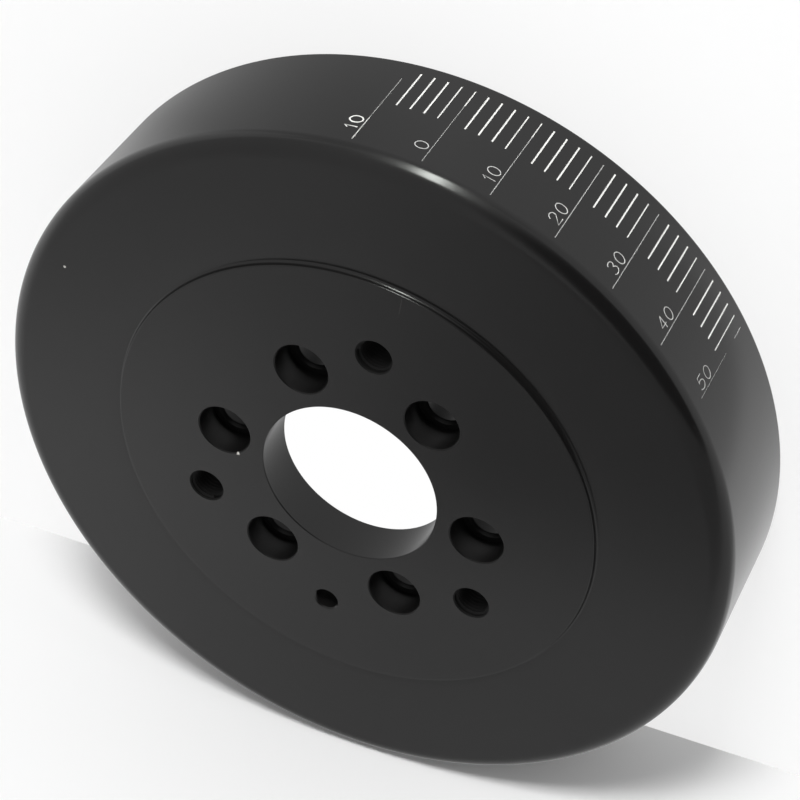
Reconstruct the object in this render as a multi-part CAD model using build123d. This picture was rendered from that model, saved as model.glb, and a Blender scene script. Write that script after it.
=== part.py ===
from build123d import *
import math
import os

# A sealed viscous crankshaft damper, in millimetres.
# The origin is the centre of the back face. +Z runs along the crank axis, towards the front.
# The timing zero is on the -Y side, and the scale runs clockwise from it as seen from the front.

# Overall sizes
rim_radius = 101.6
overall_depth = 42.9

# Hub boss, raised a little above the front wall and blended into it by a cove
boss_radius = 66.7
boss_height = 0.6
boss_cove_radius = 2.4
boss_edge_break = 0.12

# Outer corners
front_corner_radius = 5.3
back_corner_chamfer = 0.6

# Hub plate and the open recess behind it
hub_plate_thickness = 12.7
bore_radius = 24.6
bore_edge_break = 0.2
recess_radius = 64.0
recess_corner_radius = 3.0
recess_mouth_chamfer = 0.8

# Annular chamber that holds the inertia ring
front_wall_thickness = 6.5
outer_wall_thickness = 4.5
inner_wall_thickness = 5.0
chamber_corner_radius = 0.8

# Cover plate, let into a rebate in both walls and welded
cover_thickness = 5.0
cover_ledge = 1.5
cover_clearance = 0.05
weld_groove = 1.4
weld_crown_depth = 0.3

# Six counterbored holes for the bolts to the crank
bolt_circle_radius = 36.15
bolt_count = 6
bolt_hole_radius = 5.0
bolt_hole_mouth_chamfer = 0.8
counterbore_radius = 7.35
counterbore_depth = 8.3
counterbore_edge_break = 0.15
bolt_hole_back_chamfer = 0.4

# Three tapped holes for the puller, drilled to the thread's minor diameter
puller_circle_radius = 45.0
puller_count = 3
puller_hole_radius = 4.25
puller_chamfer = 0.85

# Dowel hole, opposite the timing zero
dowel_circle_radius = 45.0
dowel_hole_radius = 3.175
dowel_chamfer = 0.4

# Inertia ring and the gaps round it
ring_side_gap = 0.7
ring_outer_gap = 0.8
ring_inner_gap = 1.0
ring_edge_chamfer = 1.2

# L-section bearing rings in the inertia ring's inner corners
bearing_running_clearance = 0.08
bearing_side_clearance = 0.1
bearing_sleeve_thickness = 2.52
bearing_sleeve_length = 8.0
bearing_flange_reach = 8.0
bearing_flange_thickness = 1.6
bearing_corner_chamfer = 0.9
bearing_flange_chamfer = 0.3

# Silicone fluid, clear of what turns in it by a hair
fluid_clearance = 0.1
fluid_end_gap = 0.3

# Filling and venting plugs in the cover plate
plug_shank_radius = 3.95
plug_thread_clearance = 0.05
plug_head_radius = 6.0
plug_socket_across_flats = 4.0
plug_socket_depth = 2.6
plug_end_chamfer = 0.4

# Timing scale on the rim
timing_zero_angle = -90.0
timing_step = 2.0
marks_before_zero = 5
marks_after_zero = 25
marks_per_number = 5
mark_rear_end = 3.8
short_mark_length = 14.9
long_mark_length = 32.1
short_mark_width = 0.45
long_mark_width = 0.22
engraving_depth = 0.2

# Numerals, single-stroke, read from the front edge towards the back, standing on their line
numeral_setback = 4.3
numeral_baseline = 0.85
numeral_height = 3.3
numeral_width = 2.7
numeral_stroke = 0.34
numeral_pitch = 4.1
narrow_numeral_pitch = 2.4

# Sizes that follow from the ones above
front_wall_face = overall_depth - boss_height
hub_back = overall_depth - hub_plate_thickness
boss_cove_reach = math.sqrt(2 * boss_cove_radius * boss_height - boss_height**2)
chamber_front = front_wall_face - front_wall_thickness
chamber_outer_radius = rim_radius - outer_wall_thickness
chamber_inner_radius = recess_radius + inner_wall_thickness
cover_outer_radius = chamber_outer_radius + cover_ledge
cover_inner_radius = chamber_inner_radius - cover_ledge
rebate_outer_radius = cover_outer_radius + cover_clearance
rebate_inner_radius = cover_inner_radius - cover_clearance
ring_outer_radius = chamber_outer_radius - ring_outer_gap
ring_inner_radius = chamber_inner_radius + ring_inner_gap
ring_rear = cover_thickness + ring_side_gap
ring_front = chamber_front - ring_side_gap
bearing_bore_radius = chamber_inner_radius + bearing_running_clearance
bearing_flange_radius = chamber_inner_radius + bearing_flange_reach
bearing_sleeve_radius = bearing_bore_radius + bearing_sleeve_thickness
bearing_rear = cover_thickness + bearing_side_clearance
bearing_front = chamber_front - bearing_side_clearance
bearing_flange_pocket = bearing_flange_thickness - (ring_side_gap - bearing_side_clearance)
bearing_sleeve_pocket = bearing_sleeve_length - (ring_side_gap - bearing_side_clearance)
plug_circle_radius = round((chamber_inner_radius + chamber_outer_radius) / 2)
plug_hole_radius = plug_shank_radius + plug_thread_clearance
plug_head_depth = plug_head_radius - plug_hole_radius
numeral_start = mark_rear_end + long_mark_length - numeral_setback


def section(*points):
    """A face in the half-plane through the axis, from (radius, height) corners."""
    return Plane.XZ * make_face(Polyline(*points, close=True))


def corner(face, radius, height):
    """The corner of a section nearest to a radius and height."""
    return face.vertices().sort_by_distance(Vector(radius, 0, height))[0]


def turned(face):
    """The solid that a section turns into about the axis."""
    return revolve(face, Axis.Z, 360)


def rounded(face, size, *places):
    return fillet([corner(face, *place) for place in places], size)


def broken(face, size, *places):
    return chamfer([corner(face, *place) for place in places], size)


def along_z(low, high, radius):
    """A plain cylinder between two heights."""
    return Pos(0, 0, low) * extrude(Circle(radius), high - low)


def cone(low, low_radius, high, high_radius):
    """A cone frustum about Z between two heights."""
    return turned(section((0, low), (low_radius, low), (high_radius, high), (0, high)))


def around(radius, count, first_angle):
    """Places evenly round the axis."""
    return PolarLocations(radius, count, start_angle=first_angle, rotate=False)


def boss_section():
    """The raised boss: flat top, then a cove that runs out into the front wall."""
    top = overall_depth
    foot = boss_radius + boss_cove_reach
    middle = math.acos(1 - boss_height / boss_cove_radius) / 2
    cove_middle = (
        foot - boss_cove_radius * math.sin(middle),
        front_wall_face + boss_cove_radius * (1 - math.cos(middle)),
    )
    below = front_wall_face - 1
    edges = Polyline((foot, front_wall_face), (foot, below), (bore_radius, below), (bore_radius, top), (boss_radius, top))
    edges += ThreePointArc((boss_radius, top), cove_middle, (foot, front_wall_face))
    face = Plane.XZ * make_face(edges)
    return broken(face, boss_edge_break, (boss_radius, top))


def housing_section():
    """Hub plate, front wall, outer wall and inner wall, one machined piece."""
    face = section(
        (bore_radius, hub_back),
        (bore_radius, front_wall_face),
        (rim_radius, front_wall_face),
        (rim_radius, 0),
        (rebate_outer_radius, 0),
        (rebate_outer_radius, cover_thickness),
        (chamber_outer_radius, cover_thickness),
        (chamber_outer_radius, chamber_front),
        (chamber_inner_radius, chamber_front),
        (chamber_inner_radius, cover_thickness),
        (rebate_inner_radius, cover_thickness),
        (rebate_inner_radius, 0),
        (recess_radius, 0),
        (recess_radius, hub_back),
    )
    face = rounded(face, front_corner_radius, (rim_radius, front_wall_face))
    face = rounded(face, recess_corner_radius, (recess_radius, hub_back))
    face = rounded(
        face, chamber_corner_radius, (chamber_outer_radius, chamber_front), (chamber_inner_radius, chamber_front)
    )
    face = broken(face, back_corner_chamfer, (rim_radius, 0))
    face = broken(face, weld_groove, (rebate_outer_radius, 0), (rebate_inner_radius, 0))
    face = broken(face, recess_mouth_chamfer, (recess_radius, 0))
    return broken(face, bore_edge_break, (bore_radius, hub_back))


def counterbored_hole():
    """The tool that cuts one bolt hole, with its axis on Z."""
    seat = overall_depth - counterbore_depth
    tool = along_z(hub_back - 1, overall_depth, bolt_hole_radius)
    tool += along_z(seat, overall_depth + 1, counterbore_radius)
    tool += cone(seat - bolt_hole_mouth_chamfer, bolt_hole_radius, seat, bolt_hole_radius + bolt_hole_mouth_chamfer)
    tool += mouth(overall_depth, counterbore_radius, counterbore_edge_break)
    return tool + back_mouth(hub_back, bolt_hole_radius, bolt_hole_back_chamfer)


def mouth(height, radius, size):
    """The cone that breaks the front edge of a hole."""
    return cone(height - size, radius, height + 0.5, radius + size + 0.5)


def back_mouth(height, radius, size):
    """The cone that breaks the back edge of a hole."""
    return cone(height - 0.5, radius + size + 0.5, height + size, radius)


def straight_hole(radius, size):
    """The tool that cuts one plain hole through the hub plate, broken at both ends."""
    tool = along_z(hub_back - 1, overall_depth + 1, radius)
    tool += mouth(overall_depth, radius, size)
    return tool + back_mouth(hub_back, radius, size)


def mark_angle(mark):
    """Where a timing mark stands, counted from the zero mark, clockwise from the front."""
    return timing_zero_angle - timing_step * mark


def on_rim(angle, height):
    """A plane on the rim: x runs towards the back, y anticlockwise, and z outwards."""
    a = math.radians(angle)
    outwards = Vector(math.cos(a), math.sin(a), 0)
    return Plane(origin=outwards * rim_radius + Vector(0, 0, height), x_dir=(0, 0, -1), z_dir=outwards)


def engraved(plane, outline):
    """A shallow cut into the rim, from a flat outline."""
    return extrude(plane * outline, engraving_depth, both=True)


def timing_mark(mark):
    """One line of the scale."""
    long_one = mark % marks_per_number == 0
    length = long_mark_length if long_one else short_mark_length
    width = long_mark_width if long_one else short_mark_width
    plane = on_rim(mark_angle(mark), mark_rear_end + length / 2)
    return engraved(plane, Rectangle(length, width))


def stroke(*lines):
    """Engraved strokes along some lines."""
    return trace(Curve() + list(lines), numeral_stroke)


def numeral(digit):
    """One single-stroke numeral, with its lower left corner at the origin."""
    w = numeral_width
    h = numeral_height
    half = w / 2
    if digit == "0":
        outer = Ellipse(half + numeral_stroke / 2, h / 2 + numeral_stroke / 2)
        return Pos(half, h / 2) * (outer - Ellipse(half - numeral_stroke / 2, h / 2 - numeral_stroke / 2))
    if digit == "1":
        return stroke(Polyline((0, h * 0.72), (w * 0.25, h), (w * 0.25, 0)))
    if digit == "2":
        top = ThreePointArc((w * 0.06, h * 0.72), (half, h), (w * 0.94, h * 0.68))
        return stroke(top, Polyline((w * 0.94, h * 0.68), (0, 0), (w, 0)))
    if digit == "3":
        upper = ThreePointArc((w * 0.08, h * 0.84), (w * 0.86, h * 0.76), (w * 0.4, h * 0.53))
        lower = ThreePointArc((w * 0.4, h * 0.53), (w * 0.92, h * 0.26), (0, h * 0.14))
        return stroke(upper, lower)
    if digit == "4":
        slope = stroke(Polyline((w, h * 0.3), (0, h * 0.3), (w * 0.72, h)))
        return slope + stroke(Line((w * 0.72, h), (w * 0.72, 0)))
    flag = Polyline((w * 0.92, h), (w * 0.16, h), (w * 0.08, h * 0.55))
    bowl = ThreePointArc((w * 0.08, h * 0.55), (w, h * 0.34), (0, h * 0.08))
    return stroke(flag, bowl)


def number_on(mark):
    """The number that belongs to a long line, as one engraved cut."""
    digits = str(abs(mark) * int(timing_step))
    plane = on_rim(mark_angle(mark), numeral_start)
    reach = 0
    cuts = []
    for digit in digits:
        cuts.append(engraved(plane, Pos(reach, numeral_baseline) * numeral(digit)))
        reach += narrow_numeral_pitch if digit == "1" else numeral_pitch
    return cuts


def with_timing_scale(body):
    """The body with all the lines and numbers of the scale cut into its rim."""
    marks = range(-marks_before_zero, marks_after_zero + 1)
    body -= [timing_mark(mark) for mark in marks]
    for mark in marks:
        if mark % marks_per_number == 0:
            body -= number_on(mark)
    return body


def housing():
    body = turned(housing_section()) + turned(boss_section())
    body -= mouth(overall_depth, bore_radius, bore_edge_break)
    body -= [place * counterbored_hole() for place in around(bolt_circle_radius, bolt_count, 0)]
    puller_hole = straight_hole(puller_hole_radius, puller_chamfer)
    body -= [place * puller_hole for place in around(puller_circle_radius, puller_count, timing_zero_angle)]
    dowel_hole = straight_hole(dowel_hole_radius, dowel_chamfer)
    body -= [place * dowel_hole for place in around(dowel_circle_radius, 1, timing_zero_angle + 180)]
    return with_timing_scale(body)


def plug_place(angle):
    """Where a plug stands in the cover plate."""
    a = math.radians(angle)
    return Pos(plug_circle_radius * math.cos(a), plug_circle_radius * math.sin(a), 0)


def plug_hole():
    """The tool for one countersunk plug hole."""
    tool = along_z(-1, cover_thickness + 1, plug_hole_radius)
    return tool + cone(-1, plug_head_radius + 1, plug_head_depth, plug_hole_radius)


def cover_plate():
    face = section(
        (cover_inner_radius, 0),
        (cover_outer_radius, 0),
        (cover_outer_radius, cover_thickness),
        (cover_inner_radius, cover_thickness),
    )
    face = broken(face, weld_groove, (cover_inner_radius, 0), (cover_outer_radius, 0))
    plate = turned(face)
    return plate - [plug_place(angle) * plug_hole() for angle in (0, 180)]


def weld_bead(cover_edge, wall_edge):
    """Weld metal in the groove between the cover plate and a wall, dressed just below the back face."""
    side = 1 if wall_edge > cover_edge else -1
    spread = weld_groove - weld_crown_depth
    face = section(
        (cover_edge - side * spread, weld_crown_depth),
        (cover_edge, weld_groove),
        (wall_edge, weld_groove),
        (wall_edge + side * spread, weld_crown_depth),
    )
    return turned(face)


def plug():
    """A flush countersunk plug with a hexagon socket, its axis on Z."""
    face = section(
        (0, 0),
        (plug_head_radius, 0),
        (plug_head_radius - plug_head_depth, plug_head_depth),
        (plug_shank_radius, plug_head_depth),
        (plug_shank_radius, cover_thickness),
        (0, cover_thickness),
    )
    socket = extrude(RegularPolygon(plug_socket_across_flats / 2, 6, major_radius=False), plug_socket_depth)
    return turned(broken(face, plug_end_chamfer, (plug_shank_radius, cover_thickness))) - socket


def inertia_ring():
    face = section(
        (bearing_sleeve_radius, ring_rear + bearing_flange_pocket),
        (bearing_flange_radius, ring_rear + bearing_flange_pocket),
        (bearing_flange_radius, ring_rear),
        (ring_outer_radius, ring_rear),
        (ring_outer_radius, ring_front),
        (bearing_flange_radius, ring_front),
        (bearing_flange_radius, ring_front - bearing_flange_pocket),
        (bearing_sleeve_radius, ring_front - bearing_flange_pocket),
        (bearing_sleeve_radius, ring_front - bearing_sleeve_pocket),
        (ring_inner_radius, ring_front - bearing_sleeve_pocket),
        (ring_inner_radius, ring_rear + bearing_sleeve_pocket),
        (bearing_sleeve_radius, ring_rear + bearing_sleeve_pocket),
    )
    face = broken(face, ring_edge_chamfer, (ring_outer_radius, ring_rear), (ring_outer_radius, ring_front))
    return turned(face)


def bearing_ring(face_height, inwards):
    """An L-section ring: a sleeve that runs on the inner wall and a flange that runs on the side wall."""
    flange_end = face_height + inwards * bearing_flange_thickness
    sleeve_end = face_height + inwards * bearing_sleeve_length
    face = section(
        (bearing_bore_radius, face_height),
        (bearing_flange_radius, face_height),
        (bearing_flange_radius, flange_end),
        (bearing_sleeve_radius, flange_end),
        (bearing_sleeve_radius, sleeve_end),
        (bearing_bore_radius, sleeve_end),
    )
    face = broken(face, bearing_corner_chamfer, (bearing_bore_radius, face_height))
    return turned(broken(face, bearing_flange_chamfer, (bearing_flange_radius, face_height)))


def silicone_fluid():
    """The film round the outside and both sides of the inertia ring, and the one inside its bore."""
    outer_start = bearing_flange_radius + fluid_end_gap
    chamber = section(
        (outer_start, cover_thickness),
        (chamber_outer_radius, cover_thickness),
        (chamber_outer_radius, chamber_front),
        (outer_start, chamber_front),
    )
    chamber = rounded(chamber, chamber_corner_radius, (chamber_outer_radius, chamber_front))
    swept = section(
        (outer_start - 1, ring_rear - fluid_clearance),
        (ring_outer_radius + fluid_clearance, ring_rear - fluid_clearance),
        (ring_outer_radius + fluid_clearance, ring_front + fluid_clearance),
        (outer_start - 1, ring_front + fluid_clearance),
    )
    bore_film = section(
        (chamber_inner_radius, bearing_rear + bearing_sleeve_length + fluid_end_gap),
        (ring_inner_radius - fluid_clearance, bearing_rear + bearing_sleeve_length + fluid_end_gap),
        (ring_inner_radius - fluid_clearance, bearing_front - bearing_sleeve_length - fluid_end_gap),
        (chamber_inner_radius, bearing_front - bearing_sleeve_length - fluid_end_gap),
    )
    return Compound([turned(chamber - swept).solid(), turned(bore_film).solid()])


def parts():
    """Every piece under its own name."""
    return {
        "housing": housing(),
        "cover_plate": cover_plate(),
        "outer_weld_bead": weld_bead(cover_outer_radius, rebate_outer_radius),
        "inner_weld_bead": weld_bead(cover_inner_radius, rebate_inner_radius),
        "inertia_ring": inertia_ring(),
        "front_bearing_ring": bearing_ring(bearing_front, -1),
        "rear_bearing_ring": bearing_ring(bearing_rear, 1),
        "silicone_fluid": silicone_fluid(),
        "fill_plug": plug_place(0) * plug(),
        "vent_plug": plug_place(180) * plug(),
    }


os.makedirs("parts", exist_ok=True)
for name, shape in parts().items():
    export_step(shape, f"parts/{name}.step")
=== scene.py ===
import math

import bpy
from mathutils import Matrix, Vector


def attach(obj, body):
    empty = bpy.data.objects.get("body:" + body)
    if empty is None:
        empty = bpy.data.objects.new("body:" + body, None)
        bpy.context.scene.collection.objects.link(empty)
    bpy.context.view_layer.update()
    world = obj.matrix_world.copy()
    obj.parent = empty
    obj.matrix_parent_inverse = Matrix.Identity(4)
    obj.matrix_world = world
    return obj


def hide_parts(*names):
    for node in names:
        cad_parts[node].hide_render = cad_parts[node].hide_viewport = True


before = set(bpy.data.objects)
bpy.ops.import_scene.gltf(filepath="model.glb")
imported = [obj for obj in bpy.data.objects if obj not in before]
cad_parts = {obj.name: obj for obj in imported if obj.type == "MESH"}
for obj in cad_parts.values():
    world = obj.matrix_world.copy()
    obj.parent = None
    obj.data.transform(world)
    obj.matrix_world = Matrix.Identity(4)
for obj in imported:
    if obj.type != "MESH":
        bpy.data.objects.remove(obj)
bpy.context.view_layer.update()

# Sizes of the damper in millimetres, the round ones as radii. The back face is at height 0 and the
# crank axis is Z.
RIM = 101.6
DEPTH = 42.9
WALL_FACE = 42.3
HUB_BACK = 30.2
BORE = 24.6
BORE_CHAMFER = 0.2
BOSS = 66.7
BOSS_EDGE_ROUND = 0.45
BOSS_FOOT_ROUND = 1.2
BOSS_FOOT_OUT = 1.636
BOSS_FOOT_DOWN = 0.509
RELIEF_END = (73.5, 41.62)
FRONT_CORNER = 5.3
REAR_CORNER = 0.6
RECESS = 64.0
RECESS_ROUND = 3.0
RECESS_CHAMFER = 0.8
CHAMBER_IN = 69.0
CHAMBER_OUT = 97.1
CHAMBER_TOP = 35.8
CHAMBER_ROUND = 0.8
COVER = 5.0
REBATE_IN = 67.45
REBATE_OUT = 98.65
WELD_CHAMFER = 1.4
BOLT_CIRCLE = 36.15
BOLT_HOLE = 5.0
BOLT_HOLE_CHAMFER = 0.1
COUNTERBORE = 7.35
COUNTERBORE_DEPTH = 8.3
COUNTERBORE_CHAMFER = 0.3
PULLER_CIRCLE = 45.0
PULLER_HOLE = 4.78
PULLER_CHAMFER = 0.32
DOWEL_HOLE = 3.175
DOWEL_CHAMFER = 0.4
THREAD_PITCH = 1.0583

# Where the timing scale's zero is and how far apart its marks are, in degrees.
SCALE_ZERO = -90.0
SCALE_STEP = 2.0

# Steps in a full turn of the body and of a hole.
TURN_STEPS = 720
HOLE_STEPS = 96

# Metres. Points closer than MERGE are one, and faces thinner than SLIVER are cleared away.
MERGE = 1e-6
SLIVER = 3e-6


def mm(*values):
    """Millimetres as a vector in metres."""
    return Vector([0.001 * value for value in values])


# ---------------------------------------------------------------- hand tools

def let_go():
    """Leaves edit mode and deselects everything."""
    if bpy.context.object and bpy.context.object.mode != "OBJECT":
        bpy.ops.object.mode_set(mode="OBJECT")
    bpy.ops.object.select_all(action="DESELECT")


def take(piece, *others):
    """Selects pieces, the first one active."""
    let_go()
    for each in (piece, *others):
        each.select_set(True)
    bpy.context.view_layer.objects.active = piece
    return piece


def pick_points(piece, test):
    """In edit mode with only the points selected whose place, in millimetres, passes a test."""
    bpy.ops.object.mode_set(mode="OBJECT")
    for part in (piece.data.polygons, piece.data.edges):
        part.foreach_set("select", [False] * len(part))
    for point in piece.data.vertices:
        point.select = bool(test(point.co * 1000))
    bpy.ops.object.mode_set(mode="EDIT")


def near(*corners):
    """A test for points at some corners (radius, height) of an outline."""
    return lambda p: any(math.hypot(p.x - r, p.z - z) < 0.02 for r, z in corners)


def bow(cx, cy, rx, ry, first, last, steps):
    """Points on an arc, angles in degrees."""
    angles = [math.radians(first + (last - first) * k / steps) for k in range(steps + 1)]
    return [(cx + rx * math.cos(a), cy + ry * math.sin(a)) for a in angles]


def draw(name, places, closed):
    """An outline through some places in millimetres: one point, extruded from each to the next."""
    let_go()
    bpy.ops.mesh.primitive_plane_add(size=0.001)
    piece = bpy.context.object
    piece.name = name
    bpy.ops.object.mode_set(mode="EDIT")
    bpy.ops.mesh.select_mode(type="VERT")
    bpy.ops.mesh.merge(type="CENTER")
    here = mm(*places[0])
    bpy.ops.transform.translate(value=here)
    for place in places[1:] + places[:1] if closed else places[1:]:
        step = mm(*place) - here
        bpy.ops.mesh.extrude_region_move(TRANSFORM_OT_translate={"value": step})
        here = mm(*place)
    bpy.ops.mesh.select_all(action="SELECT")
    bpy.ops.mesh.remove_doubles(threshold=MERGE)
    return piece


def section(name, corners):
    """A closed outline in the half-plane through the axis, from its (radius, height) corners."""
    return draw(name, [(r, 0, z) for r, z in corners], closed=True)


def soften(piece, size, segments, *corners):
    """Rounds corners of an outline, or breaks them where there is one segment."""
    pick_points(piece, near(*corners))
    bpy.ops.mesh.bevel(offset=0.001 * size, offset_type="OFFSET", segments=segments, affect="VERTICES")


def turn(piece, steps, centre=(0, 0)):
    """Turns an outline into a closed body round an axis parallel to the crank's."""
    bpy.ops.mesh.select_all(action="SELECT")
    bpy.ops.transform.translate(value=mm(-centre[0], -centre[1], 0))
    bpy.ops.object.mode_set(mode="OBJECT")
    lathe = piece.modifiers.new("lathe", "SCREW")
    lathe.axis = "Z"
    lathe.angle = math.tau
    lathe.steps = lathe.render_steps = steps
    lathe.use_merge_vertices = True
    lathe.merge_threshold = MERGE
    take(piece)
    bpy.ops.object.modifier_apply(modifier="lathe")
    bpy.ops.object.mode_set(mode="EDIT")
    bpy.ops.mesh.select_all(action="SELECT")
    bpy.ops.mesh.remove_doubles(threshold=MERGE)
    bpy.ops.mesh.normals_make_consistent(inside=False)
    bpy.ops.transform.translate(value=mm(*centre, 0))
    bpy.ops.object.mode_set(mode="OBJECT")
    return piece


def copy_round(piece, angles):
    """Copies of a piece at some angles round the axis, each with its own mesh, joined with it."""
    copies = []
    for angle in angles:
        take(piece)
        bpy.ops.object.duplicate()
        copy = bpy.context.object
        copy.rotation_euler.z = math.radians(angle)
        copies.append(copy)
    take(piece, *copies)
    bpy.ops.object.transform_apply(location=True, rotation=True, scale=True)
    bpy.ops.object.join()
    return bpy.context.object


def cut(piece, tool):
    """Cuts a tool out of a piece. The faces it leaves take the tool's material."""
    change = piece.modifiers.new("cut", "BOOLEAN")
    change.operation = "DIFFERENCE"
    change.object = tool
    change.solver = "MANIFOLD"
    change.material_mode = "TRANSFER"
    take(piece)
    bpy.ops.object.modifier_apply(modifier="cut")
    bpy.data.objects.remove(tool)


def clear_slivers(piece):
    """Removes the faces without area that cuts leave."""
    take(piece)
    bpy.ops.object.mode_set(mode="EDIT")
    bpy.ops.mesh.select_mode(type="VERT")
    bpy.ops.mesh.select_all(action="SELECT")
    bpy.ops.mesh.remove_doubles(threshold=SLIVER)
    bpy.ops.mesh.dissolve_degenerate(threshold=SLIVER)
    bpy.ops.object.mode_set(mode="OBJECT")


def finish_shading(piece):
    """Smooth shading that keeps flat faces flat."""
    take(piece)
    bpy.ops.object.shade_smooth_by_angle(angle=math.radians(28))
    weights = piece.modifiers.new("weights", "WEIGHTED_NORMAL")
    weights.keep_sharp = True
    weights.weight = 80
    bpy.ops.object.modifier_apply(modifier="weights")


# ---------------------------------------------------------------- finishes

def node(tree, kind, inputs=None, **settings):
    """A shader node. Each input is given a value, or the output that feeds it."""
    made = tree.nodes.new("ShaderNode" + kind)
    for key, value in settings.items():
        setattr(made, key, value)
    for key, value in (inputs or {}).items():
        if isinstance(value, bpy.types.NodeSocket):
            tree.links.new(value, made.inputs[key])
        else:
            made.inputs[key].default_value = value
    return made


def effect(name, inputs, outputs):
    """An empty shader node group with named inputs, given with their values, and named outputs."""
    tree = bpy.data.node_groups.new(name, "ShaderNodeTree")
    for key, value in inputs.items():
        socket = tree.interface.new_socket(name=key, in_out="INPUT", socket_type="NodeSocketFloat")
        socket.default_value = value
    for key in outputs:
        tree.interface.new_socket(name=key, in_out="OUTPUT", socket_type="NodeSocketFloat")
    return tree, tree.nodes.new("NodeGroupInput"), tree.nodes.new("NodeGroupOutput")


def polar(tree):
    """Radius, height and angle of a point round the crank axis, and its place."""
    place = node(tree, "TexCoord").outputs["Object"]
    split = node(tree, "SeparateXYZ", {"Vector": place})
    flat = node(tree, "VectorMath", {0: place, 1: (1, 1, 0)}, operation="MULTIPLY")
    radius = node(tree, "VectorMath", {0: flat.outputs["Vector"]}, operation="LENGTH")
    angle = node(tree, "Math", {0: split.outputs["Y"], 1: split.outputs["X"]}, operation="ARCTAN2")
    return radius.outputs["Value"], split.outputs["Z"], angle.outputs["Value"], place


def turned_lines():
    """Fine lines that a lathe tool leaves, concentric on the faces and parallel on the rim."""
    tree, given, made = effect(
        "turned_lines", {"Lines per metre": 9000.0, "Unevenness": 0.5}, ["Height"],
    )
    radius, height, _, _ = polar(tree)
    across = node(tree, "CombineXYZ", {"X": radius, "Y": height})
    lines = node(tree, "TexNoise", {
        "Vector": across.outputs["Vector"],
        "Scale": given.outputs["Lines per metre"],
        "Detail": 3.0,
        "Roughness": given.outputs["Unevenness"],
    })
    tree.links.new(lines.outputs["Fac"], made.inputs["Height"])
    return tree


def coat_variation():
    """Cloudy changes and fine grain in a sprayed or dipped coat."""
    tree, given, made = effect(
        "coat_variation", {"Cloud size": 0.03, "Grain size": 0.0006}, ["Cloud", "Grain"],
    )
    place = node(tree, "TexCoord").outputs["Object"]
    for key, out, detail in (("Cloud size", "Cloud", 4.0), ("Grain size", "Grain", 2.0)):
        scale = node(tree, "Math", {0: 1.0, 1: given.outputs[key]}, operation="DIVIDE")
        noise = node(tree, "TexNoise", {
            "Vector": place,
            "Scale": scale.outputs["Value"],
            "Detail": detail,
        })
        tree.links.new(noise.outputs["Fac"], made.inputs[out])
    return tree


def new_material(name):
    """A material with its node tree and its shader."""
    material = bpy.data.materials.new(name)
    material.use_nodes = True
    return material, material.node_tree, material.node_tree.nodes["Principled BSDF"]


def use(tree, group, inputs=None):
    """Places an effect in a material with its own values."""
    made = tree.nodes.new("ShaderNodeGroup")
    made.node_tree = group
    for key, value in (inputs or {}).items():
        made.inputs[key].default_value = value
    return made


def span(tree, value, low, high):
    """A value from 0 to 1 moved to a range."""
    made = node(tree, "MapRange", {"Value": value, "To Min": low, "To Max": high})
    return made.outputs["Result"]


def maths(tree, operation, *values):
    """One step of arithmetic on values and outputs."""
    return node(tree, "Math", dict(enumerate(values)), operation=operation).outputs["Value"]


def eased(tree, value, start, end, low=0.0, high=1.0):
    """A value eased from low to high while another goes from start to end."""
    made = node(tree, "MapRange", {
        "Value": value,
        "From Min": start,
        "From Max": end,
        "To Min": low,
        "To Max": high,
    })
    made.interpolation_type = "SMOOTHSTEP"
    return made.outputs["Result"]


def between(tree, factor, first, last):
    """A colour between two others. Inputs 6 and 7 and output 2 are the node's colours."""
    made = node(tree, "Mix", {"Factor": factor, 6: first, 7: last}, data_type="RGBA")
    return made.outputs[2]


def shaded(colour, amount):
    """A colour made darker or lighter."""
    red, green, blue = [min(1, amount * value) for value in colour]
    return red, green, blue, 1


# Places and sizes of the chips in the coat, then the middle and half the size of the scratch
# across and along, in millimetres.
CHIP_PLACES = [((86.2, -31.1, 42.05), 0.7), ((31.4, 6.05, 42.9), 0.9)]
SCRATCH_ACROSS = (-4.1, 0.05)
SCRATCH_ALONG = (-63.7, 2.4)
CHIPPED = (0.5, 0.49, 0.46, 1)


def chips():
    """Two chips in the coat and a hairline scratch on the boss, each at its own place."""
    tree, _, made = effect("chips", {}, ["Chip", "Scratch"])
    place = node(tree, "TexCoord").outputs["Object"]
    split = node(tree, "SeparateXYZ", {"Vector": place})
    ragged = node(tree, "TexNoise", {"Vector": place, "Scale": 3000.0}).outputs["Fac"]
    found = []
    for centre, size in CHIP_PLACES:
        gap = node(tree, "VectorMath", {0: place, 1: mm(*centre)}, operation="DISTANCE")
        reach = maths(tree, "MULTIPLY", ragged, 0.001 * size)
        found.append(maths(tree, "LESS_THAN", gap.outputs["Value"], reach))
    tree.links.new(maths(tree, "MAXIMUM", *found), made.inputs["Chip"])
    across = maths(tree, "COMPARE", split.outputs["X"], *mm(*SCRATCH_ACROSS))
    along = maths(tree, "COMPARE", split.outputs["Y"], *mm(*SCRATCH_ALONG))
    tree.links.new(maths(tree, "MULTIPLY", across, along), made.inputs["Scratch"])
    return tree


LINES = turned_lines()
COAT = coat_variation()
CHIPS = chips()


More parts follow.
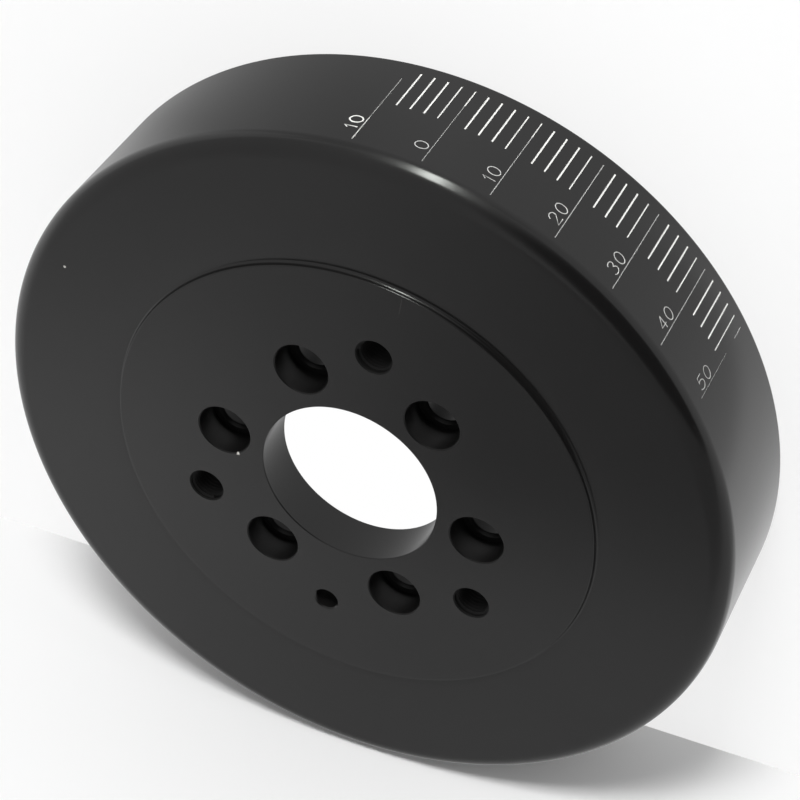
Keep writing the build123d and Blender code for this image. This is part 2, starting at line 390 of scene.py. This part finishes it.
def black_coat(name, roughness, colour, line_depth, shine=0.5):
    """Satin black coat over turned iron."""
    material, tree, shader = new_material(name)
    coat = use(tree, COAT)
    lines = use(tree, LINES)
    shade = between(tree, coat.outputs["Cloud"], shaded(colour, 0.85), shaded(colour, 1.2))
    wear = use(tree, CHIPS)
    seen = maths(tree, "MULTIPLY_ADD", wear.outputs["Scratch"], 0.06, wear.outputs["Chip"])
    tree.links.new(between(tree, seen, shade, CHIPPED), shader.inputs["Base Color"])
    shader.inputs["Specular IOR Level"].default_value = shine
    sheen = span(tree, coat.outputs["Cloud"], roughness - 0.03, roughness + 0.03)
    tree.links.new(sheen, shader.inputs["Roughness"])
    grain = node(tree, "Bump", {
        "Height": coat.outputs["Grain"],
        "Distance": 0.000004,
        "Strength": 0.5,
    })
    cut_lines = node(tree, "Bump", {
        "Height": lines.outputs["Height"],
        "Distance": line_depth,
        "Strength": 1.0,
        "Normal": grain.outputs["Normal"],
    })
    tree.links.new(cut_lines.outputs["Normal"], shader.inputs["Normal"])
    return material


def bare_metal(name, colour, roughness, line_depth):
    """Turned metal without a coat."""
    material, tree, shader = new_material(name)
    coat = use(tree, COAT, {"Cloud size": 0.012})
    lines = use(tree, LINES)
    shade = between(tree, coat.outputs["Cloud"], shaded(colour, 0.86), shaded(colour, 1.08))
    tree.links.new(shade, shader.inputs["Base Color"])
    shader.inputs["Metallic"].default_value = 1.0
    sheen = span(tree, coat.outputs["Grain"], roughness - 0.06, roughness + 0.06)
    tree.links.new(sheen, shader.inputs["Roughness"])
    bump = node(tree, "Bump", {"Height": lines.outputs["Height"], "Distance": line_depth})
    tree.links.new(bump.outputs["Normal"], shader.inputs["Normal"])
    return material


def weld_finish():
    """Weld beads under the black coat, with curved ripples along them."""
    material, tree, shader = new_material("weld_metal")
    radius, _, angle, _ = polar(tree)
    bend = maths(tree, "MULTIPLY", radius, 2500.0)
    wobble = use(tree, COAT, {"Cloud size": 0.006})
    push = maths(tree, "MULTIPLY_ADD", wobble.outputs["Cloud"], 3.0, bend)
    ripple = maths(tree, "SINE", maths(tree, "MULTIPLY_ADD", angle, 500.0, push))
    shade = between(tree, wobble.outputs["Cloud"], (0.011, 0.011, 0.011, 1), (0.022, 0.021, 0.02, 1))
    tree.links.new(shade, shader.inputs["Base Color"])
    tree.links.new(span(tree, wobble.outputs["Grain"], 0.3, 0.46), shader.inputs["Roughness"])
    bump = node(tree, "Bump", {"Height": ripple, "Distance": 0.00008})
    tree.links.new(bump.outputs["Normal"], shader.inputs["Normal"])
    return material


def plain_finish(name, colour, roughness, grain):
    """A finish with a fine grain, for the engraved lines, the plastic rings and the fluid."""
    material, tree, shader = new_material(name)
    coat = use(tree, COAT, {"Cloud size": 0.01, "Grain size": 0.0004})
    shade = between(tree, coat.outputs["Cloud"], shaded(colour, 0.9), shaded(colour, 1.1))
    tree.links.new(shade, shader.inputs["Base Color"])
    sheen = span(tree, coat.outputs["Cloud"], roughness - 0.05, roughness + 0.05)
    tree.links.new(sheen, shader.inputs["Roughness"])
    bump = node(tree, "Bump", {"Height": coat.outputs["Grain"], "Distance": grain})
    tree.links.new(bump.outputs["Normal"], shader.inputs["Normal"])
    return material


BLACK = black_coat("black_coat", 0.20, (0.0062, 0.0060, 0.0060), 0.0000005)
HOLE_BLACK = black_coat("hole_black", 0.38, (0.0052, 0.0050, 0.0050), 0.000001, 0.3)
THREAD_BLACK = black_coat("thread_black", 0.62, (0.0035, 0.0034, 0.0034), 0.000001, 0.3)
BLACK_COVER = black_coat("black_cover", 0.38, (0.0075, 0.0073, 0.0070), 0.000003)
ENGRAVED = plain_finish("engraved_bright", (0.82, 0.82, 0.80), 0.5, 0.000006)
FINE_ENGRAVED = plain_finish("engraved_grey", (0.6, 0.6, 0.59), 0.5, 0.000006)
STEEL = bare_metal("ring_steel", (0.46, 0.45, 0.44), 0.34, 0.000003)
PLUG_STEEL = bare_metal("plug_steel", (0.2, 0.195, 0.19), 0.36, 0.000002)
WELD = weld_finish()
PLASTIC = plain_finish("bearing_plastic", (0.62, 0.57, 0.46), 0.42, 0.000004)
FLUID = plain_finish("silicone_fluid", (0.72, 0.74, 0.74), 0.12, 0.000001)


# ---------------------------------------------------------------- housing

def housing_body():
    """The turned body. Its boss has a rounded edge, a steep side and a wider round at the foot.

    The centre of the foot's round lies out from the boss and down from its face. From the foot the
    front wall rises to the end of the relief, and then more gently to the rim.
    """
    edge = bow(BOSS - 0.05, DEPTH - BOSS_EDGE_ROUND, BOSS_EDGE_ROUND, BOSS_EDGE_ROUND, 90, 10, 6)
    foot_centre = BOSS + BOSS_FOOT_OUT, DEPTH - BOSS_FOOT_DOWN
    foot = bow(*foot_centre, BOSS_FOOT_ROUND, BOSS_FOOT_ROUND, 190, 242, 7)
    piece = section("damper_housing", [
        (BORE, HUB_BACK), (BORE, DEPTH), *edge, *foot, RELIEF_END, (RIM, WALL_FACE), (RIM, 0),
        (REBATE_OUT, 0), (REBATE_OUT, COVER), (CHAMBER_OUT, COVER), (CHAMBER_OUT, CHAMBER_TOP),
        (CHAMBER_IN, CHAMBER_TOP), (CHAMBER_IN, COVER), (REBATE_IN, COVER), (REBATE_IN, 0),
        (RECESS, 0), (RECESS, HUB_BACK),
    ])
    soften(piece, FRONT_CORNER, 20, (RIM, WALL_FACE))
    soften(piece, RECESS_ROUND, 8, (RECESS, HUB_BACK))
    soften(piece, CHAMBER_ROUND, 3, (CHAMBER_OUT, CHAMBER_TOP), (CHAMBER_IN, CHAMBER_TOP))
    soften(piece, REAR_CORNER, 2, (RIM, 0))
    soften(piece, RECESS_CHAMFER, 1, (RECESS, 0))
    soften(piece, BORE_CHAMFER, 1, (BORE, HUB_BACK), (BORE, DEPTH))
    soften(piece, WELD_CHAMFER, 1, (REBATE_OUT, 0), (REBATE_IN, 0))
    turn(piece, TURN_STEPS)
    piece.data.materials.append(BLACK)
    return piece


def tool_at(name, radius, angle, corners, finish):
    """A turned cutting tool on an axis parallel to the crank's, from its own (radius, height) corners."""
    a = math.radians(angle)
    x, y = radius * math.cos(a), radius * math.sin(a)
    tool = draw(name, [(x + r, y, z) for r, z in corners], closed=False)
    turn(tool, HOLE_STEPS, (x, y))
    tool.data.materials.append(finish)
    return tool


def front_mouth(radius, chamfer):
    """A tool's corners from above the boss down to the bottom of a chamfer."""
    return [(0, DEPTH + 1), (radius + chamfer + 1, DEPTH + 1), (radius, DEPTH - chamfer)]


def back_mouth(radius, chamfer):
    """The same at the back of the hub plate."""
    return [(radius, HUB_BACK + chamfer), (radius + chamfer + 1, HUB_BACK - 1), (0, HUB_BACK - 1)]


def bolt_hole_tool():
    """Six counterbored holes. Each hole's mouth in the seat is a chamfer that runs out in a small round."""
    seat = DEPTH - COUNTERBORE_DEPTH
    mouth = [(5.8, seat), (5.12, seat - 0.68), (5.03, seat - 0.82), (BOLT_HOLE, seat - 1.0)]
    corners = [
        *front_mouth(COUNTERBORE, COUNTERBORE_CHAMFER), (COUNTERBORE, seat), *mouth,
        *back_mouth(BOLT_HOLE, BOLT_HOLE_CHAMFER),
    ]
    tool = tool_at("bolt_hole_tool", BOLT_CIRCLE, 0, corners, HOLE_BLACK)
    return copy_round(tool, [60 * k for k in range(1, 6)])


def puller_hole_tool():
    """Three holes to be tapped."""
    corners = front_mouth(PULLER_HOLE, PULLER_CHAMFER) + back_mouth(PULLER_HOLE, PULLER_CHAMFER)
    tool = tool_at("puller_hole_tool", PULLER_CIRCLE, -90, corners, THREAD_BLACK)
    return copy_round(tool, [120, 240])


def dowel_hole_tool():
    """One plain hole."""
    corners = front_mouth(DOWEL_HOLE, DOWEL_CHAMFER) + back_mouth(DOWEL_HOLE, DOWEL_CHAMFER)
    return tool_at("dowel_hole_tool", PULLER_CIRCLE, 90, corners, BLACK)


def thread_ridge():
    """The helical ridges of the tapped holes: a closed outline run up a screw, with its ends filled.

    The root of the ridge is sunk a little in the wall of the hole.
    """
    root, crest = PULLER_HOLE + 0.04, 4.27
    flank, flat = 0.48, 0.08
    low = HUB_BACK + 0.5
    piece = section("thread", [
        (root, low), (crest, low + flank), (crest, low + flank + flat), (root, low + 2 * flank + flat),
    ])
    bpy.ops.object.mode_set(mode="OBJECT")
    screw = piece.modifiers.new("screw", "SCREW")
    screw.axis = "Z"
    screw.angle = math.tau
    screw.screw_offset = 0.001 * THREAD_PITCH
    screw.iterations = 10
    screw.steps = screw.render_steps = 48
    screw.use_merge_vertices = True
    take(piece)
    bpy.ops.object.modifier_apply(modifier="screw")
    bpy.ops.object.mode_set(mode="EDIT")
    bpy.ops.mesh.select_all(action="DESELECT")
    bpy.ops.mesh.select_mode(type="EDGE")
    bpy.ops.mesh.select_non_manifold()
    bpy.ops.mesh.fill_holes(sides=4)
    bpy.ops.mesh.select_all(action="SELECT")
    bpy.ops.mesh.normals_make_consistent(inside=False)
    bpy.ops.transform.translate(value=mm(0, -PULLER_CIRCLE, 0))
    bpy.ops.object.mode_set(mode="OBJECT")
    piece.data.materials.append(THREAD_BLACK)
    return copy_round(piece, [120, 240])


# ---------------------------------------------------------------- timing scale

# Millimetres. The heights of the ends of the lines, and their depths.
LINE_REAR = 3.8
SHORT_LINE_FRONT = 18.7
LONG_LINE_FRONT = 35.9
LINE_DEPTH = 0.2
BOLD_LINE_DEPTH = 0.22
# The height that a numeral starts at, its gap to the line, and the room that a 1 or another digit takes.
NUMERAL_FRONT = 31.6
NUMERAL_GAP = 0.85
ONE_ROOM = 2.4
DIGIT_ROOM = 4.1


def mark_angle(mark):
    """The angle of a mark round the rim, in radians."""
    return math.radians(SCALE_ZERO - SCALE_STEP * mark)


def line_tool(mark, low, high, width, finish, depth=LINE_DEPTH):
    """The cutter for one line across the rim, narrower at its bottom."""
    let_go()
    middle = (low + high) / 2
    bpy.ops.mesh.primitive_cube_add(size=1, location=mm(RIM, 0, middle))
    tool = bpy.context.object
    tool.scale = mm(2 * depth, width, high - low)
    bpy.ops.object.transform_apply(location=True, scale=True)
    pick_points(tool, lambda p: p.x < RIM)
    bpy.ops.transform.resize(value=(1, 0.55, 1), center_override=mm(RIM - depth, 0, middle))
    bpy.ops.object.mode_set(mode="OBJECT")
    tool.rotation_euler.z = mark_angle(mark)
    bpy.ops.object.transform_apply(rotation=True)
    tool.data.materials.append(finish)
    return tool


def strokes(digit):
    """The strokes of a numeral 2.7 wide and 3.3 high, its lower left corner at the origin."""
    if digit == "0":
        return [bow(1.35, 1.65, 1.35, 1.65, 0, 360, 24)]
    if digit == "1":
        return [[(0, 2.38), (0.68, 3.3), (0.68, 0)]]
    if digit == "2":
        return [bow(1.35, 2.3, 1.19, 1.0, 172, -25, 12) + [(0, 0), (2.7, 0)]]
    if digit == "3":
        upper = bow(1.2, 2.55, 1.12, 0.75, 165, -80, 10)
        return [upper + bow(1.15, 0.9, 1.4, 0.9, 78, -145, 12)[1:]]
    if digit == "4":
        return [[(2.7, 0.99), (0, 0.99), (1.94, 3.3)], [(1.94, 3.3), (1.94, 0)]]
    return [[(2.48, 3.3), (0.43, 3.3), (0.22, 1.82)] + bow(1.2, 1.12, 1.5, 1.12, 132, -145, 12)[1:]]


def stroke_tool(mark, reach, path, width, finish):
    """A round cutter that follows one stroke of a numeral round the rim."""
    places = []
    for x, y in path:
        a = mark_angle(mark) + (NUMERAL_GAP + y) / RIM
        places.append((RIM * math.cos(a), RIM * math.sin(a), NUMERAL_FRONT - reach - x))
    loop = (Vector(path[0]) - Vector(path[-1])).length < 0.01
    tool = draw("stroke_tool", places[:-1] if loop else places, closed=loop)
    bpy.ops.object.mode_set(mode="OBJECT")
    bpy.ops.object.convert(target="CURVE")
    curve = bpy.context.object.data
    curve.bevel_depth = 0.0005 * width
    curve.bevel_resolution = 1
    curve.use_fill_caps = True
    bpy.ops.object.convert(target="MESH")
    tool = bpy.context.object
    bpy.ops.object.mode_set(mode="EDIT")
    bpy.ops.mesh.select_all(action="SELECT")
    bpy.ops.mesh.remove_doubles(threshold=MERGE)
    bpy.ops.mesh.normals_make_consistent(inside=False)
    bpy.ops.object.mode_set(mode="OBJECT")
    tool.data.materials.clear()
    tool.data.materials.append(finish)
    return tool


def joined(tools):
    """Tools made one."""
    take(*tools)
    bpy.ops.object.join()
    return bpy.context.object


# Long lines that the engraver cut unevenly, as (rear end, front end, width, bold) for each piece of line.
LONG_LINES = {
    -5: [(7.5, LONG_LINE_FRONT, 0.24, False), (26.0, 35.8, 0.3, True)],
    0: [(LINE_REAR, LONG_LINE_FRONT, 0.22, False), (3.7, 10.3, 0.42, True)],
    5: [(LINE_REAR, LONG_LINE_FRONT, 0.24, False), (3.7, 10.0, 0.34, True)],
    25: [(LINE_REAR, 8.5, 0.28, False), (15.0, 33.5, 0.14, False)],
}
# Numerals cut wider or finer than the rest, as (width, finish).
NUMERAL_CUTS = {-5: (0.46, ENGRAVED), 25: (0.24, FINE_ENGRAVED)}


def scale_tools():
    """All the cutters of the timing scale, in two sets. The cutters in a set don't touch each other."""
    first, second = [], []
    for mark in range(-5, 26):
        if mark % 5:
            # The line before each long one is thinner.
            width = 0.42 if mark % 5 == 4 else 0.56
            first.append(line_tool(mark, LINE_REAR, SHORT_LINE_FRONT, width, ENGRAVED))
            continue
        for low, high, width, bold in LONG_LINES.get(mark, [(LINE_REAR, LONG_LINE_FRONT, 0.28, False)]):
            if bold:
                second.append(line_tool(mark, low, high, width, ENGRAVED, BOLD_LINE_DEPTH))
            else:
                first.append(line_tool(mark, low, high, width, FINE_ENGRAVED))
        width, finish = NUMERAL_CUTS.get(mark, (0.3, FINE_ENGRAVED))
        reach = 0
        for digit in str(abs(mark) * 2):
            for number, path in enumerate(strokes(digit)):
                (second if number else first).append(stroke_tool(mark, reach, path, width, finish))
            reach += ONE_ROOM if digit == "1" else DIGIT_ROOM
    return joined(first), joined(second)


def housing():
    """The body with its holes, its timing scale and the threads in its tapped holes."""
    piece = housing_body()
    cut(piece, bolt_hole_tool())
    cut(piece, puller_hole_tool())
    cut(piece, dowel_hole_tool())
    for tool in scale_tools():
        cut(piece, tool)
    clear_slivers(piece)
    finish_shading(piece)
    ridges = thread_ridge()
    finish_shading(ridges)
    take(piece, ridges)
    bpy.ops.object.join()
    return piece


body = housing()
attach(body, "housing_body")
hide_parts("housing")


# ---------------------------------------------------------------- pieces kept from the frame

KEPT_FINISHES = {
    "cover_plate": BLACK_COVER,
    "outer_weld_bead": WELD,
    "inner_weld_bead": WELD,
    "inertia_ring": STEEL,
    "front_bearing_ring": PLASTIC,
    "rear_bearing_ring": PLASTIC,
    "silicone_fluid": FLUID,
    "fill_plug": PLUG_STEEL,
    "vent_plug": PLUG_STEEL,
}
for name, finish in KEPT_FINISHES.items():
    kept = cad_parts[name]
    if not kept.data.materials:
        kept.data.materials.append(finish)
    for place in kept.material_slots:
        place.material = finish


# ---------------------------------------------------------------- studio

def one_sided(tree, surface):
    """Lets the studio be seen through from behind."""
    clear = node(tree, "BsdfTransparent")
    side = node(tree, "NewGeometry")
    mix = node(tree, "MixShader", {0: side.outputs["Backfacing"], 1: surface, 2: clear.outputs[0]})
    tree.links.new(mix.outputs[0], tree.nodes["Material Output"].inputs["Surface"])


def matt_white(name, places):
    """Matt white to the camera and to the light, with its own brightness in reflections.

    places(tree, radius, x, y, z) gives how much it glows to the camera, how bright reflections
    see it and where they see through it.
    """
    material, tree, shader = new_material(name)
    shader.inputs["Base Color"].default_value = (0.92, 0.92, 0.92, 1)
    shader.inputs["Roughness"].default_value = 0.9
    shader.inputs["Specular IOR Level"].default_value = 0.0
    radius, _, _, place = polar(tree)
    split = node(tree, "SeparateXYZ", {"Vector": place})
    glow, mirrored, window = places(tree, radius, *split.outputs)
    path = node(tree, "LightPath")
    glossy = path.outputs["Is Glossy Ray"]
    share = maths(tree, "MAXIMUM", glossy, maths(tree, "MULTIPLY", path.outputs["Is Camera Ray"], glow))
    strength = maths(tree, "MULTIPLY_ADD", glossy, maths(tree, "SUBTRACT", mirrored, 1.0), 1.0)
    light = node(tree, "Emission", {"Color": (1, 1, 1, 1), "Strength": strength})
    mix = node(tree, "MixShader", {0: share, 1: shader.outputs[0], 2: light.outputs[0]})
    clear = node(tree, "BsdfTransparent")
    seen = maths(tree, "MULTIPLY", glossy, window)
    mix = node(tree, "MixShader", {0: seen, 1: mix.outputs[0], 2: clear.outputs[0]})
    one_sided(tree, mix.outputs[0])
    return material


# Metres. The floor inside this radius is seen through the holes. There it is painted light over the hub's
# shade: fully white to the camera and plain in reflections.
UNDER_HUB = 0.062
# The direction from the crank axis to the backdrop, and how far away it is.
BACKDROP_SIDE = Vector((-0.1641, 0.98644, 0))
BACKDROP_DISTANCE = 0.1019
# How brightly the camera and reflections see the floor, where nothing changes it.
FLOOR_GLOW = 0.72
FLOOR_MIRRORED = 0.64
# How brightly the world lights the part, and the direction of a dark patch painted into its reflections.
WORLD_LEVEL = 0.55
REFLECTED_DARK_SIDE = (-0.75, -0.43, 0.5)


def floor_places(tree, radius, x, y, z):
    """White all over, and whitest under the hub as painted light over its shade. In reflections it shows a
    painted brightness: greyer, with lighter parts on each side.
    """
    glow = eased(tree, radius, UNDER_HUB, UNDER_HUB - 0.004, FLOOR_GLOW, 1.0)
    side = eased(tree, maths(tree, "ADD", x, y), -0.157, -0.146)
    side = maths(tree, "MULTIPLY", side, eased(tree, x, -0.04, -0.08, 0.0, 0.27))
    mirrored = maths(tree, "ADD", eased(tree, x, 0.05, 0.0, 0.48, FLOOR_MIRRORED), side)
    mirrored = maths(tree, "ADD", mirrored, eased(tree, x, 0.085, 0.115, 0.0, 0.3))
    # Under the hub, reflections see the floor's plain brightness, painted over the hub's shade.
    under = maths(tree, "LESS_THAN", radius, UNDER_HUB)
    to_hub = maths(tree, "SUBTRACT", FLOOR_MIRRORED, mirrored)
    mirrored = maths(tree, "MULTIPLY_ADD", under, to_hub, mirrored)
    # The strip lamp reaches below the floor, and reflections see all of it.
    beyond = maths(tree, "LESS_THAN", y, -0.19)
    window = maths(tree, "MULTIPLY", beyond, maths(tree, "COMPARE", x, 0.06, 0.13))
    return glow, mirrored, window


def wall_places(tree, radius, x, y, z):
    """In reflections the wall shows painted shade: it falls off upwards, and sooner on one side."""
    light_side = eased(tree, z, 0.13, 0.25, 0.84, 0.53)
    dark_side = eased(tree, z, 0.11, 0.18, 0.57, 0.28)
    across = eased(tree, x, -0.02, 0.13)
    change = maths(tree, "SUBTRACT", light_side, dark_side)
    return 0.01, maths(tree, "MULTIPLY_ADD", across, change, dark_side), 0.0


def studio():
    """A floor under the part and a backdrop that its rim nearly touches, so that the shadow falls
    beside the rim."""
    let_go()
    bpy.ops.mesh.primitive_plane_add(size=4, location=(0, 0, -0.00005))
    floor = bpy.context.object
    floor.name = "floor"
    bpy.ops.object.transform_apply(location=True)
    floor.data.materials.append(matt_white("floor_white", floor_places))
    # The light from below reaches the backdrop and the rim through it.
    floor.visible_diffuse = False
    floor.visible_shadow = False
    bpy.ops.mesh.primitive_plane_add(size=3, location=BACKDROP_SIDE * BACKDROP_DISTANCE)
    wall = bpy.context.object
    wall.name = "backdrop"
    wall.rotation_euler = (math.radians(90), 0, math.atan2(-BACKDROP_SIDE.x, BACKDROP_SIDE.y))
    bpy.ops.object.transform_apply(location=True, rotation=True)
    wall.data.materials.append(matt_white("backdrop_white", wall_places))


def lamp(name, place, aim, size, height, power, colour=(1, 1, 1)):
    """A rectangular lamp that the camera doesn't see."""
    bpy.ops.object.light_add(type="AREA", location=place)
    light = bpy.context.object
    light.name = name
    light.data.shape = "RECTANGLE"
    light.data.size = size
    light.data.size_y = height
    light.data.energy = power
    light.data.color = colour
    light.rotation_euler = (Vector(aim) - Vector(place)).to_track_quat("-Z", "Y").to_euler()
    light.visible_camera = False
    return light


def lights():
    """A tall lamp seen only in reflections, a main lamp that isn't, and the world."""
    let_go()
    rim_edge = (-0.005, -0.0985, 0.0405)
    strip = lamp("strip", (0.125, -0.886, 0.025), rim_edge, 0.09, 0.52, 3.8, (0.96, 1.0, 0.95))
    strip.visible_diffuse = False
    main = lamp("main", (0.10, -1.0, 0.45), (0.0, 0.0, 0.02), 0.26, 0.26, 8.8)
    main.visible_glossy = False
    world = bpy.data.worlds.new("studio")
    bpy.context.scene.world = world
    world.use_nodes = True
    tree = world.node_tree
    path = node(tree, "LightPath")
    # The dark patch is painted into reflections only, seen in the rim and in its rounded edge. It takes no
    # light away.
    out = node(tree, "TexCoord").outputs["Generated"]
    towards = node(tree, "VectorMath", {0: out, 1: REFLECTED_DARK_SIDE}, operation="DOT_PRODUCT")
    plain = tree.nodes["Background"]
    reflected_dark = eased(tree, towards.outputs["Value"], 0.58, 0.88, 0.5, 0.0)
    glossy = path.outputs["Is Glossy Ray"]
    change = maths(tree, "SUBTRACT", reflected_dark, WORLD_LEVEL)
    level = maths(tree, "MULTIPLY_ADD", glossy, change, WORLD_LEVEL)
    tree.links.new(level, plain.inputs["Color"])
    white = node(tree, "Background", {"Color": (1, 1, 1, 1), "Strength": 1.0})
    seen = path.outputs["Is Camera Ray"]
    mix = node(tree, "MixShader", {0: seen, 1: plain.outputs[0], 2: white.outputs[0]})
    tree.links.new(mix.outputs[0], tree.nodes["World Output"].inputs["Surface"])


def camera():
    """The camera, from its right, up and back directions."""
    let_go()
    bpy.ops.object.camera_add(location=(-0.12508, -0.42655, 0.44293))
    eye = bpy.context.object
    eye.name = "camera"
    right = (-0.90009, -0.15049, -0.4089)
    up = (0.38527, -0.7132, -0.58559)
    back = (-0.2035, -0.68462, 0.69992)
    eye.rotation_euler = Matrix((right, up, back)).transposed().to_euler()
    eye.data.lens = 104.5704
    eye.data.sensor_width = 36
    bpy.context.scene.camera = eye


camera()
studio()
lights()
bpy.context.scene.view_settings.view_transform = "Standard"
